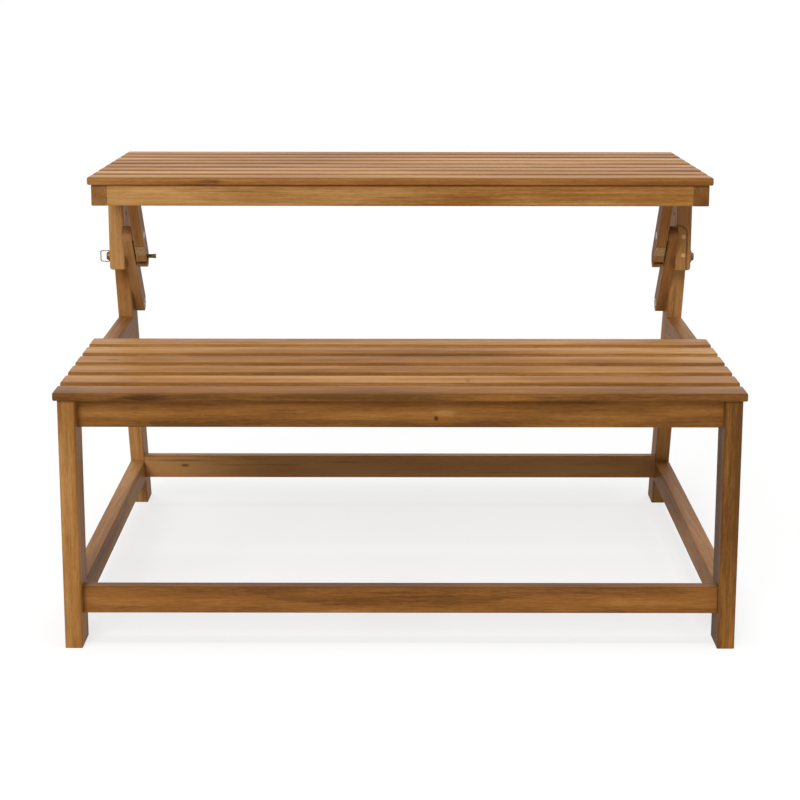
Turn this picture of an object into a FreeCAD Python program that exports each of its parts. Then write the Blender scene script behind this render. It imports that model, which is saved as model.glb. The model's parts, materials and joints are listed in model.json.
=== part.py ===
import FreeCAD, Part
import math
import os

# Convertible picnic table bench in acacia wood.
# Millimetres. X runs to the right, Y away from the sitter's front, Z up from the floor.
# The origin is on the floor, in the middle of the length and of the depth.

V = FreeCAD.Vector

# Frame of the bench
LEG_THICKNESS = 30.5
FRONT_LEG_FACE_Y = -538.0
FRONT_LEG_DEPTH = 75.0
REAR_LEG_FOOT_Y = 434.0
REAR_LEG_DEPTH = 73.0
REAR_LEG_LEAN_DEG = 20.1
EDGE_CHAMFER = 1.6
TURNED_SIDES = 24

# Seat
SLAT_LENGTH = 1200.0
SLAT_OVERHANG = 6.5
SLAT_ROUND = 3.5
SLAT_ROUND_FLATS = 3
SEAT_TOP_Z = 466.0
SEAT_SLAT_THICKNESS = 15.0
SEAT_SLAT_COUNT = 6
SEAT_SLAT_WIDTH = 61.0
SEAT_SLAT_GAP = 26.6
SEAT_FRONT_OVERHANG = 10.0
SEAT_APRON_HEIGHT = 53.0
SEAT_APRON_THICKNESS = 20.0
SEAT_APRON_SETBACK = 22.0
SEAT_RAIL_HEIGHT = 50.0
SEAT_REAR_RAIL_INSET = 22.0
SEAT_BATTEN_WIDTH = 40.0
SEAT_BATTEN_HEIGHT = 30.0

# Rails and stretchers near the floor
LOWER_RAIL_BOTTOM_Z = 57.0
LOWER_RAIL_HEIGHT = 49.0
STRETCHER_THICKNESS = 25.0
STRETCHER_HEIGHT = 49.0
FRONT_STRETCHER_BOTTOM_Z = 59.0
FRONT_STRETCHER_SETBACK = 20.0
REAR_STRETCHER_BOTTOM_Z = 68.0
REAR_STRETCHER_Y = 394.0

# Table top, drawn level and then tipped about the pivot to its resting tilt
TABLE_REST_TILT_DEG = 1.2
TABLE_TOP_ABOVE_PIVOT = 137.0
TABLE_FRONT_TO_PIVOT = 222.0
TABLE_SLAT_THICKNESS = 15.0
TABLE_SLAT_COUNT = 8
TABLE_SLAT_WIDTH = 60.0
TABLE_SLAT_GAP = 20.4
TABLE_MEMBER_HEIGHT = 40.5
TABLE_MEMBER_INSET = 10.0
TABLE_APRON_THICKNESS = 20.0
TABLE_BATTEN_WIDTH = 40.0
TABLE_BATTEN_HEIGHT = 30.0

# Flip mechanism on each side
PIVOT_BEFORE_LEG = 54.06
PIVOT_Z = 642.0
FLIP_DEG = 75.0
BRACE_ANGLE_DEG = 45.0
BRACE_THICKNESS = 20.0
BRACE_WIDTH = 38.0
BRACE_BOLT_TO_PIVOT = 235.0
STRUT_THICKNESS = 20.0
WASHER_THICKNESS = 3.0
STRUT_END_BEYOND_PIN = 3.0
CLEAT_FRONT_TO_PIVOT = 160.0
CLEAT_LENGTH = 110.0
LEG_HEAD_GAP = 0.4

# Block on the front edge of each rear leg, which the lock pin passes through
BLOCK_FRONT_BEHIND_PIVOT = 15.0
BLOCK_BOTTOM_BELOW_PIVOT = 74.0
BLOCK_HEIGHT = 140.0
BLOCK_CORNER_ROUND = 6.0
PLUG_RADIUS = 4.5
PLUG_LENGTH = 8.0
PLUG_HEIGHTS = (31.0, 69.0)
SCREW_RADIUS = 2.2
SCREW_HEAD_RADIUS = 4.2
SCREW_HEAD_LENGTH = 3.0
SCREW_BITE = 34.0

# Lock pins and their pull rings
PIN_RADIUS = 4.0
PIN_TIP_RADIUS = 4.7
PIN_HOLE_CLEARANCE = 0.3
PIN_TO_PIVOT = 72.0
PIN_TIP_BEYOND_STRUT = 17.0
PIN_TIP_LENGTH = 7.0
RIGHT_PIN_SHORT_OF_FACE = 5.0
HEAD_LENGTH = 10.0
HEAD_RADIUS = 8.6
HEAD_FOOT_RADIUS = 6.0
HEAD_NOSE_RADIUS = 7.0
HEAD_STAND_OFF = 0.4
RING_WIRE_RADIUS = 1.0
RING_LENGTH = 17.5
RING_HALF_HEIGHT = 11.8
RING_TAPER = 1.4
RING_CORNER = 2.8
RING_CORNER_FLATS = 3
WIRE_SIDES = 8
RING_END_DEPTH = 3.0
RING_CLEARANCE = 0.15

# Pivot bolts and brace bolts
BOLT_RADIUS = 4.0
BOLT_CLEARANCE = 0.1
BOLT_CAP_RADIUS = 8.0
BOLT_CAP_THICKNESS = 2.5
WASHER_RADIUS = 12.0
BRACE_BOLT_DOME = 3.0
BRACE_BOLT_BITE = 24.0

# Brass plate on the front of each strut
PLATE_LENGTH = 28.0
PLATE_THICKNESS = 1.5
PLATE_FROM_PIVOT = 28.0
PLATE_SIDE_MARGIN = 0.3
PLATE_SCREW_RADIUS = 1.6
PLATE_SCREW_HEAD_RADIUS = 3.2
PLATE_SCREW_HEAD_HEIGHT = 1.2
PLATE_SCREW_LENGTH = 14.0

# Tenons that join rails and stretchers to the legs
TENON_HEIGHT_SHARE = 0.7
CROSS_TENON_THICKNESS = 10.0
CROSS_TENON_LENGTH = 10.0
CROSS_TENON_SHOULDER = 1.0
SIDE_TENON_THICKNESS = 9.0
SIDE_TENON_LENGTH = 20.0
MORTISE_CLEARANCE = 0.1

# Places that follow from the sizes above
HALF_WIDTH = SLAT_LENGTH / 2 - SLAT_OVERHANG
LEG_INNER_X = HALF_WIDTH - LEG_THICKNESS
BRACE_INNER_X = LEG_INNER_X - BRACE_THICKNESS
STRUT_OUTER_X = BRACE_INNER_X - WASHER_THICKNESS
STRUT_INNER_X = STRUT_OUTER_X - STRUT_THICKNESS
LEG_MIDDLE_X = HALF_WIDTH - LEG_THICKNESS / 2
SLAT_UNDERSIDE_Z = SEAT_TOP_Z - SEAT_SLAT_THICKNESS
SEAT_FRONT_Y = FRONT_LEG_FACE_Y - SEAT_FRONT_OVERHANG
SEAT_PITCH = SEAT_SLAT_WIDTH + SEAT_SLAT_GAP
SEAT_REAR_Y = SEAT_FRONT_Y + SEAT_PITCH * SEAT_SLAT_COUNT - SEAT_SLAT_GAP
FRONT_LEG_REAR_Y = FRONT_LEG_FACE_Y + FRONT_LEG_DEPTH
REAR_LEG_SLOPE = math.tan(math.radians(REAR_LEG_LEAN_DEG))
PIVOT_Y = REAR_LEG_FOOT_Y - REAR_LEG_SLOPE * PIVOT_Z - PIVOT_BEFORE_LEG
BLOCK_FRONT_Y = PIVOT_Y + BLOCK_FRONT_BEHIND_PIVOT
BLOCK_BOTTOM_Z = PIVOT_Z - BLOCK_BOTTOM_BELOW_PIVOT
TABLE_TOP_Z = PIVOT_Z + TABLE_TOP_ABOVE_PIVOT
TABLE_UNDERSIDE_Z = TABLE_TOP_Z - TABLE_SLAT_THICKNESS
MEMBER_BOTTOM_Z = TABLE_UNDERSIDE_Z - TABLE_MEMBER_HEIGHT
TABLE_FRONT_Y = PIVOT_Y - TABLE_FRONT_TO_PIVOT
TABLE_PITCH = TABLE_SLAT_WIDTH + TABLE_SLAT_GAP
TABLE_DEPTH = TABLE_PITCH * TABLE_SLAT_COUNT - TABLE_SLAT_GAP
TABLE_REAR_Y = TABLE_FRONT_Y + TABLE_DEPTH
PIN_HOLE_RADIUS = PIN_TIP_RADIUS + PIN_HOLE_CLEARANCE
HEAD_FOOT_X = HALF_WIDTH + HEAD_STAND_OFF
RING_AXIS_X = HEAD_FOOT_X + HEAD_LENGTH / 2
DOWN_BRACE = V(0, math.cos(math.radians(BRACE_ANGLE_DEG)), -math.sin(math.radians(BRACE_ANGLE_DEG)))
FRONT_OF_BRACE = V(0, -math.sin(math.radians(BRACE_ANGLE_DEG)), -math.cos(math.radians(BRACE_ANGLE_DEG)))
PIVOT = V(0, PIVOT_Y, PIVOT_Z)


def leg_front_y(z):
    """Front edge of a rear leg at a height."""
    return REAR_LEG_FOOT_Y - REAR_LEG_SLOPE * z


def leg_top_z():
    """Height of a rear leg's head: the level cut under the tilted side member, at the head's rear."""
    slope = math.tan(math.radians(TABLE_REST_TILT_DEG))
    drop = TABLE_MEMBER_HEIGHT + TABLE_SLAT_THICKNESS
    above_pivot = (TABLE_TOP_ABOVE_PIVOT - drop) / math.cos(math.radians(TABLE_REST_TILT_DEG))
    rear_y = leg_front_y(PIVOT_Z + above_pivot) + REAR_LEG_DEPTH
    return PIVOT_Z + above_pivot - slope * (rear_y - PIVOT_Y) - LEG_HEAD_GAP


def box(x0, x1, y0, y1, z0, z1):
    """Block between two corners."""
    return Part.makeBox(x1 - x0, y1 - y0, z1 - z0, V(x0, y0, z0))


def side_profile(points, x0, x1):
    """Board cut to a side outline of (y, z) points and as thick as x0 to x1."""
    corners = [V(x0, y, z) for y, z in points]
    outline = Part.makePolygon(corners + corners[:1])
    return Part.Face(outline).extrude(V(x1 - x0, 0, 0))


def rod(start, direction, radius, length):
    """Round bar from a point."""
    return Part.makeCylinder(radius, length, start, direction)


def turned(profile, start, direction):
    """Turned piece in narrow flats from (distance along the axis, radius) points."""
    angles = [2 * math.pi * index / TURNED_SIDES for index in range(TURNED_SIDES + 1)]
    rings = [[V(x, r * math.cos(angle), r * math.sin(angle)) for angle in angles] for x, r in profile]
    faces = [Part.Face(Part.makePolygon(ring)) for ring in (rings[0], rings[-1])]
    for near, far in zip(rings, rings[1:]):
        for index in range(TURNED_SIDES):
            corners = [near[index], near[index + 1], far[index + 1], far[index], near[index]]
            faces.append(Part.Face(Part.makePolygon(corners)))
    shell = Part.makeShell(faces)
    shell.sewShape()
    solid = Part.makeSolid(shell)
    if solid.Volume < 0:
        solid.reverse()
    solid.Placement = FreeCAD.Placement(start, FreeCAD.Rotation(V(1, 0, 0), direction))
    return solid


def prism(start, direction, radius, length):
    """Many-sided bar from a point, for thin wire and its eyes."""
    corners = []
    for index in range(WIRE_SIDES + 1):
        angle = 2 * math.pi * index / WIRE_SIDES
        corners.append(V(radius * math.cos(angle), radius * math.sin(angle), 0))
    bar = Part.Face(Part.makePolygon(corners)).extrude(V(0, 0, length))
    bar.Placement = FreeCAD.Placement(start, FreeCAD.Rotation(V(0, 0, 1), direction))
    return bar


def eased(board, keep=None):
    """Board with the corners of its long edges taken off, or of the edges that keep picks."""
    def long_edge(edge):
        """Straight edge that is more than half as long as the board."""
        return edge.Length > 0.5 * max(board.BoundBox.XLength, board.BoundBox.YLength, board.BoundBox.ZLength)
    return board.makeChamfer(EDGE_CHAMFER, [edge for edge in board.Edges if (keep or long_edge)(edge)])


def slat(y0, width, z0, thickness):
    """Board along the length of the object, with its long edges rounded in narrow flats."""
    front, rear = y0 + SLAT_ROUND, y0 + width - SLAT_ROUND
    low, high = z0 + SLAT_ROUND, z0 + thickness - SLAT_ROUND
    corners = []
    for quarter, (y, z) in enumerate([(rear, high), (front, high), (front, low), (rear, low)]):
        for step in range(SLAT_ROUND_FLATS + 1):
            angle = math.pi / 2 * (quarter + step / SLAT_ROUND_FLATS)
            corners.append((y + SLAT_ROUND * math.cos(angle), z + SLAT_ROUND * math.sin(angle)))
    return side_profile(corners, -SLAT_LENGTH / 2, SLAT_LENGTH / 2)


def mirrored(shape):
    """The same piece for the other side."""
    return shape.mirror(V(0, 0, 0), V(1, 0, 0))


def table_tilt(shape):
    """A table piece moved from level to the tilt at which the top rests."""
    tipped = shape.copy()
    tipped.rotate(PIVOT, V(1, 0, 0), -TABLE_REST_TILT_DEG)
    return tipped


def cross_places():
    """Front face, thickness, underside and height of each board from side to side of the frame."""
    apron_y = FRONT_LEG_FACE_Y + SEAT_APRON_SETBACK
    apron_z = SLAT_UNDERSIDE_Z - SEAT_APRON_HEIGHT
    rear_rail_y = SEAT_REAR_Y - SEAT_REAR_RAIL_INSET - SEAT_APRON_THICKNESS
    rear_rail_z = SLAT_UNDERSIDE_Z - SEAT_RAIL_HEIGHT
    stretcher_y = FRONT_LEG_FACE_Y + FRONT_STRETCHER_SETBACK
    return {
        "seat_front_apron": (apron_y, SEAT_APRON_THICKNESS, apron_z, SEAT_APRON_HEIGHT),
        "seat_rear_rail": (rear_rail_y, SEAT_APRON_THICKNESS, rear_rail_z, SEAT_RAIL_HEIGHT),
        "front_stretcher": (stretcher_y, STRETCHER_THICKNESS, FRONT_STRETCHER_BOTTOM_Z, STRETCHER_HEIGHT),
        "rear_stretcher": (REAR_STRETCHER_Y, STRETCHER_THICKNESS, REAR_STRETCHER_BOTTOM_Z, STRETCHER_HEIGHT),
    }


def tenon_heights(z0, height, room):
    """Underside and top of the tenon of a rail, or with room of its mortise."""
    shoulder = height * (1 - TENON_HEIGHT_SHARE) / 2
    return z0 + shoulder - room, z0 + height - shoulder + room


def cross_tenon(place, room=0.0):
    """Tenon at the right end of a cross piece, near its rear face, or with room the mortise for it."""
    y0, thickness, z0, height = place
    rear = y0 + thickness - CROSS_TENON_SHOULDER
    low, high = tenon_heights(z0, height, room)
    return box(LEG_INNER_X - 1, LEG_INNER_X + CROSS_TENON_LENGTH + room,
               rear - CROSS_TENON_THICKNESS - room, rear + room, low, high)


def side_tenons(z0, height, room=0.0):
    """Tenons at the front and the rear end of a right side rail, or with room their mortises."""
    low, high = tenon_heights(z0, height, room)
    x0 = LEG_MIDDLE_X - SIDE_TENON_THICKNESS / 2 - room
    x1 = LEG_MIDDLE_X + SIDE_TENON_THICKNESS / 2 + room
    length = SIDE_TENON_LENGTH + room
    outline = [(leg_front_y(low) - 1, low), (leg_front_y(low) + length, low)]
    outline += [(leg_front_y(high) + length, high), (leg_front_y(high) - 1, high)]
    front = box(x0, x1, FRONT_LEG_REAR_Y - length, FRONT_LEG_REAR_Y + 1, low, high)
    return [front, side_profile(outline, x0, x1)]


def cut_all(board, cutters):
    """Board without the space of the cutters that reach it."""
    for cutter in cutters:
        if cutter.BoundBox.intersect(board.BoundBox):
            board = board.cut(cutter)
    return board


def cross_mortises():
    """Mortises for the right ends of the cross pieces."""
    return [cross_tenon(place, MORTISE_CLEARANCE) for place in cross_places().values()]


def side_mortises():
    """Mortises in the right legs for both side rails."""
    upper = side_tenons(SLAT_UNDERSIDE_Z - SEAT_RAIL_HEIGHT, SEAT_RAIL_HEIGHT, MORTISE_CLEARANCE)
    return upper + side_tenons(LOWER_RAIL_BOTTOM_Z, LOWER_RAIL_HEIGHT, MORTISE_CLEARANCE)


def seat_slats():
    """Boards of the seat, front to rear."""
    slats = {}
    for index in range(SEAT_SLAT_COUNT):
        y = SEAT_FRONT_Y + index * SEAT_PITCH
        board = slat(y, SEAT_SLAT_WIDTH, SLAT_UNDERSIDE_Z, SEAT_SLAT_THICKNESS)
        slats["seat_slat_%d" % (index + 1)] = board
    return slats


def front_leg():
    """Upright board at the right front corner."""
    leg = box(LEG_INNER_X, HALF_WIDTH, FRONT_LEG_FACE_Y, FRONT_LEG_REAR_Y, 0, SLAT_UNDERSIDE_Z)
    return cut_all(eased(leg), cross_mortises() + side_mortises())


def rear_leg():
    """Board at the right rear corner, leaning forward, with its pin hole for the bench position."""
    top = leg_top_z()
    outline = [(leg_front_y(0), 0), (leg_front_y(0) + REAR_LEG_DEPTH, 0)]
    outline += [(leg_front_y(top) + REAR_LEG_DEPTH, top), (leg_front_y(top), top)]
    leg = eased(side_profile(outline, LEG_INNER_X, HALF_WIDTH))
    holes = [cross_bore(bench_pin_centre(), PIN_HOLE_RADIUS), brace_bolt_hole()]
    return cut_all(leg, holes + block_screw_holes() + cross_mortises() + side_mortises())


def cross_bore(centre, radius):
    """Bore along the length of the object, through every board of one side."""
    return rod(V(STRUT_INNER_X - 1, centre.y, centre.z), V(1, 0, 0), radius, HALF_WIDTH - STRUT_INNER_X + 2)


def pin_centre():
    """Middle of the lock pin at rest, on the line of brace and strut."""
    return PIVOT + DOWN_BRACE * PIN_TO_PIVOT


def bench_pin_centre():
    """Where the pin goes when the top stands up as a backrest."""
    turn = FreeCAD.Rotation(V(1, 0, 0), FLIP_DEG)
    return PIVOT + turn.multVec(DOWN_BRACE * PIN_TO_PIVOT)


def seat_side_rail():
    """Right rail that carries the slats, from the front leg to the leaning rear leg."""
    return side_rail(SLAT_UNDERSIDE_Z - SEAT_RAIL_HEIGHT, SEAT_RAIL_HEIGHT)


def lower_side_rail():
    """Right rail near the floor."""
    return side_rail(LOWER_RAIL_BOTTOM_Z, LOWER_RAIL_HEIGHT)


def side_rail(z0, height):
    """Rail along the right side with its rear end cut to the lean of the rear leg and tenons at both ends."""
    z1 = z0 + height
    outline = [(FRONT_LEG_REAR_Y, z0), (leg_front_y(z0), z0), (leg_front_y(z1), z1), (FRONT_LEG_REAR_Y, z1)]
    rail = cut_all(eased(side_profile(outline, LEG_INNER_X, HALF_WIDTH)), cross_mortises())
    return rail.fuse(side_tenons(z0, height)).removeSplitter()


def cross_piece(place):
    """Board from side to side with a tenon at each end."""
    y0, thickness, z0, height = place
    board = eased(box(-LEG_INNER_X, LEG_INNER_X, y0, y0 + thickness, z0, z0 + height))
    tenon = cross_tenon(place)
    return board.fuse([tenon, mirrored(tenon)]).removeSplitter()


def seat_centre_batten():
    """Flat board under the middle of the seat slats."""
    front = FRONT_LEG_FACE_Y + SEAT_APRON_SETBACK + SEAT_APRON_THICKNESS
    rear = SEAT_REAR_Y - SEAT_REAR_RAIL_INSET - SEAT_APRON_THICKNESS
    half = SEAT_BATTEN_WIDTH / 2
    return box(-half, half, front, rear, SLAT_UNDERSIDE_Z - SEAT_BATTEN_HEIGHT, SLAT_UNDERSIDE_Z)


def pivot_block():
    """Wedge block on the front edge of the right rear leg, bored for pin, plugs and screws."""
    top = BLOCK_BOTTOM_Z + BLOCK_HEIGHT
    outline = [(BLOCK_FRONT_Y, BLOCK_BOTTOM_Z), (leg_front_y(BLOCK_BOTTOM_Z), BLOCK_BOTTOM_Z)]
    outline += [(leg_front_y(top), top), (BLOCK_FRONT_Y, top)]
    block = side_profile(outline, LEG_INNER_X, HALF_WIDTH)

    def outer_bottom(edge):
        """Lower edge of the outer face."""
        box_of = edge.BoundBox
        return box_of.XMin > HALF_WIDTH - 0.01 and box_of.ZMax < BLOCK_BOTTOM_Z + 0.01

    def front_upright(edge):
        """Upright edge of the front face."""
        box_of = edge.BoundBox
        return box_of.YMax < BLOCK_FRONT_Y + 0.01 and box_of.ZLength > BLOCK_HEIGHT / 2
    block = block.makeFillet(BLOCK_CORNER_ROUND, [edge for edge in block.Edges if outer_bottom(edge)])
    block = eased(block, front_upright)
    holes = [cross_bore(pin_centre(), PIN_HOLE_RADIUS)] + block_screw_holes()
    for plug in plug_places():
        holes.append(rod(plug, V(0, 1, 0), PLUG_RADIUS + BOLT_CLEARANCE, PLUG_LENGTH + SCREW_HEAD_LENGTH))
    return cut_all(block, holes)


def plug_places():
    """Front centres of the two wooden plugs of the right block."""
    return [V(LEG_MIDDLE_X, BLOCK_FRONT_Y, BLOCK_BOTTOM_Z + height) for height in PLUG_HEIGHTS]


def block_screw_places():
    """Front ends of the two screws under the plugs."""
    return [place + V(0, PLUG_LENGTH, 0) for place in plug_places()]


def block_screw_holes():
    """Holes for the shanks of those screws, through the block and into the leg."""
    radius = SCREW_RADIUS + BOLT_CLEARANCE
    return [rod(place, V(0, 1, 0), radius, screw_length()) for place in block_screw_places()]


def screw_length():
    """From under the plug, through the block and into the leg."""
    return leg_front_y(BLOCK_BOTTOM_Z) - BLOCK_FRONT_Y - PLUG_LENGTH + SCREW_BITE


def block_plugs():
    """Wooden plugs in the front of the right block."""
    return [rod(place, V(0, 1, 0), PLUG_RADIUS, PLUG_LENGTH) for place in plug_places()]


def block_screws():
    """Steel screws that hold the right block on its leg."""
    profile = [(0, SCREW_HEAD_RADIUS), (SCREW_HEAD_LENGTH, SCREW_RADIUS)]
    profile += [(screw_length(), SCREW_RADIUS)]
    return [turned(profile, place, V(0, 1, 0)) for place in block_screw_places()]


def brace_outline(x0, x1, start, end):
    """Board with half round ends about two points on the line of the brace."""
    half = BRACE_WIDTH / 2
    first = PIVOT + DOWN_BRACE * start
    last = PIVOT + DOWN_BRACE * end
    front = FRONT_OF_BRACE * half
    shift = V(x0, 0, 0)
    upper = Part.Arc(first + front + shift, first - DOWN_BRACE * half + shift, first - front + shift)
    lower = Part.Arc(last - front + shift, last + DOWN_BRACE * half + shift, last + front + shift)
    rear_edge = Part.LineSegment(first - front + shift, last - front + shift)
    front_edge = Part.LineSegment(last + front + shift, first + front + shift)
    edges = [upper.toShape(), rear_edge.toShape(), lower.toShape(), front_edge.toShape()]
    return Part.Face(Part.Wire(edges)).extrude(V(x1 - x0, 0, 0))


def brace():
    """Fixed slanting brace on the inner face of the right rear leg."""
    board = brace_outline(BRACE_INNER_X, LEG_INNER_X, 0, BRACE_BOLT_TO_PIVOT)
    board = board.cut(cross_bore(pin_centre(), PIN_HOLE_RADIUS))
    board = board.cut(cross_bore(PIVOT, BOLT_RADIUS + BOLT_CLEARANCE))
    head_room = V(LEG_INNER_X - BOLT_CAP_THICKNESS, PIVOT_Y, PIVOT_Z)
    board = board.cut(rod(head_room, V(1, 0, 0), BOLT_CAP_RADIUS + BOLT_CLEARANCE, BOLT_CAP_THICKNESS + 1))
    return board.cut(brace_bolt_hole())


def brace_bolt_start():
    """Inner face of the brace at its lower bolt."""
    centre = PIVOT + DOWN_BRACE * BRACE_BOLT_TO_PIVOT
    return V(BRACE_INNER_X, centre.y, centre.z)


def brace_bolt_hole():
    """Hole for the lower bolt, through the brace and into the leg."""
    return rod(brace_bolt_start(), V(1, 0, 0), BOLT_RADIUS + BOLT_CLEARANCE, brace_bolt_length())


def brace_bolt_length():
    """Through the brace and into the leg."""
    return BRACE_THICKNESS + BRACE_BOLT_BITE


def brace_bolt():
    """Bolt with a domed head on the inner face of the right brace."""
    dome = [(-BRACE_BOLT_DOME, BOLT_RADIUS * 0.6), (-BRACE_BOLT_DOME * 0.5, BOLT_CAP_RADIUS * 0.8)]
    dome += [(0, BOLT_CAP_RADIUS), (0, BOLT_RADIUS), (brace_bolt_length(), BOLT_RADIUS)]
    return turned(dome, brace_bolt_start(), V(1, 0, 0))


def pivot_bolt():
    """Bolt with flush caps at both ends, through the right brace, its washer and the strut."""
    length = LEG_INNER_X - STRUT_INNER_X
    profile = [(0, BOLT_CAP_RADIUS), (BOLT_CAP_THICKNESS, BOLT_CAP_RADIUS), (BOLT_CAP_THICKNESS, BOLT_RADIUS)]
    profile += [(length - BOLT_CAP_THICKNESS, BOLT_RADIUS), (length - BOLT_CAP_THICKNESS, BOLT_CAP_RADIUS)]
    profile += [(length, BOLT_CAP_RADIUS)]
    return turned(profile, V(STRUT_INNER_X, PIVOT_Y, PIVOT_Z), V(1, 0, 0))


def pivot_washer():
    """Spacer ring between the right brace and the strut."""
    start = V(STRUT_OUTER_X, PIVOT_Y, PIVOT_Z)
    ring = rod(start, V(1, 0, 0), WASHER_RADIUS, WASHER_THICKNESS)
    return ring.cut(rod(start, V(1, 0, 0), BOLT_RADIUS + BOLT_CLEARANCE, WASHER_THICKNESS))


def strut():
    """Slanting strut of the right side of the table top, hooked over the lock pin at its lower end."""
    end = PIN_TO_PIVOT + STRUT_END_BEYOND_PIN
    reach = (TABLE_UNDERSIDE_Z - PIVOT_Z) / math.sin(math.radians(BRACE_ANGLE_DEG)) + BRACE_WIDTH
    board = brace_outline(STRUT_INNER_X, STRUT_OUTER_X, -reach, end)
    board = board.cut(box(STRUT_INNER_X, STRUT_OUTER_X, TABLE_FRONT_Y - reach, TABLE_REAR_Y,
                          TABLE_UNDERSIDE_Z, TABLE_UNDERSIDE_Z + 2 * reach))
    board = board.cut(cross_bore(PIVOT, BOLT_RADIUS + BOLT_CLEARANCE))
    nut_room = V(STRUT_INNER_X - 1, PIVOT_Y, PIVOT_Z)
    board = board.cut(rod(nut_room, V(1, 0, 0), BOLT_CAP_RADIUS + BOLT_CLEARANCE, BOLT_CAP_THICKNESS + 1))
    return board.cut(hook_slot()).cut(plate_screw_hole())


def hook_slot():
    """Slot from the lock pin to the front of the strut, on the pin's arc about the pivot."""
    untilt = FreeCAD.Rotation(V(1, 0, 0), TABLE_REST_TILT_DEG)
    across = PIVOT + untilt.multVec(DOWN_BRACE * PIN_TO_PIVOT)
    seat = cross_bore(across, PIN_HOLE_RADIUS)
    sweep = Part.makeCylinder(PIN_TO_PIVOT + PIN_HOLE_RADIUS, STRUT_THICKNESS + 2,
                              V(STRUT_INNER_X - 1, PIVOT_Y, PIVOT_Z), V(1, 0, 0))
    core = Part.makeCylinder(PIN_TO_PIVOT - PIN_HOLE_RADIUS, STRUT_THICKNESS + 2,
                             V(STRUT_INNER_X - 1, PIVOT_Y, PIVOT_Z), V(1, 0, 0))
    away = (across - PIVOT).normalize()
    side = V(1, 0, 0).cross(away) * -1
    far = PIN_TO_PIVOT * 2
    corners = [PIVOT, PIVOT + away * far, PIVOT + (away + side) * far, PIVOT + side * far]
    corners = [corner + V(STRUT_INNER_X - 1, 0, 0) for corner in corners]
    sector = Part.Face(Part.makePolygon(corners + corners[:1])).extrude(V(STRUT_THICKNESS + 2, 0, 0))
    return seat.fuse(sweep.cut(core).common(sector))


def plate_place():
    """Middle of the right strut's brass plate, on the strut's front face."""
    middle = PIVOT + DOWN_BRACE * PLATE_FROM_PIVOT + FRONT_OF_BRACE * (BRACE_WIDTH / 2)
    return middle + V((STRUT_INNER_X + STRUT_OUTER_X) / 2, 0, 0)


def strut_plate():
    """Brass plate screwed on the front of the right strut."""
    middle = plate_place()
    half_length = DOWN_BRACE * (PLATE_LENGTH / 2)
    half_width = V(STRUT_THICKNESS / 2 - PLATE_SIDE_MARGIN, 0, 0)
    corners = [middle - half_length - half_width, middle + half_length - half_width]
    corners += [middle + half_length + half_width, middle - half_length + half_width]
    plate = Part.Face(Part.makePolygon(corners + corners[:1])).extrude(FRONT_OF_BRACE * PLATE_THICKNESS)
    return plate.cut(plate_screw_hole())


def plate_screw_hole():
    """Hole for the plate's screw, through the plate and into the strut."""
    start = plate_place() + FRONT_OF_BRACE * PLATE_THICKNESS
    return rod(start, FRONT_OF_BRACE * -1, PLATE_SCREW_RADIUS + BOLT_CLEARANCE, PLATE_SCREW_LENGTH)


def plate_screw():
    """Screw in the middle of the right plate."""
    top = plate_place() + FRONT_OF_BRACE * (PLATE_THICKNESS + PLATE_SCREW_HEAD_HEIGHT)
    head = PLATE_SCREW_HEAD_HEIGHT
    profile = [(0, PLATE_SCREW_HEAD_RADIUS * 0.7), (head * 0.5, PLATE_SCREW_HEAD_RADIUS)]
    profile += [(head, PLATE_SCREW_HEAD_RADIUS), (head, PLATE_SCREW_RADIUS)]
    profile += [(head + PLATE_SCREW_LENGTH - 1, PLATE_SCREW_RADIUS)]
    return turned(profile, top, FRONT_OF_BRACE * -1)


def strut_cleat():
    """Filler between the right side member and the strut."""
    front = PIVOT_Y - CLEAT_FRONT_TO_PIVOT
    return box(STRUT_OUTER_X, LEG_INNER_X, front, front + CLEAT_LENGTH, MEMBER_BOTTOM_Z, TABLE_UNDERSIDE_Z)


def table_side_member():
    """Right side board under the table slats."""
    member = box(LEG_INNER_X, HALF_WIDTH, TABLE_FRONT_Y + TABLE_MEMBER_INSET,
                 TABLE_REAR_Y - TABLE_MEMBER_INSET, MEMBER_BOTTOM_Z, TABLE_UNDERSIDE_Z)
    return eased(member)


def table_apron(front_y):
    """Board between the two side members at the front or the rear."""
    apron = box(-LEG_INNER_X, LEG_INNER_X, front_y, front_y + TABLE_APRON_THICKNESS,
                MEMBER_BOTTOM_Z, TABLE_UNDERSIDE_Z)
    return eased(apron)


def table_centre_batten():
    """Flat board under the middle of the table slats."""
    half = TABLE_BATTEN_WIDTH / 2
    front = TABLE_FRONT_Y + TABLE_MEMBER_INSET + TABLE_APRON_THICKNESS
    rear = TABLE_REAR_Y - TABLE_MEMBER_INSET - TABLE_APRON_THICKNESS
    return box(-half, half, front, rear, TABLE_UNDERSIDE_Z - TABLE_BATTEN_HEIGHT, TABLE_UNDERSIDE_Z)


def table_slats():
    """Boards of the table top, front to rear."""
    slats = {}
    for index in range(TABLE_SLAT_COUNT):
        y = TABLE_FRONT_Y + index * TABLE_PITCH
        board = slat(y, TABLE_SLAT_WIDTH, TABLE_UNDERSIDE_Z, TABLE_SLAT_THICKNESS)
        slats["table_slat_%d" % (index + 1)] = board
    return slats


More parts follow.
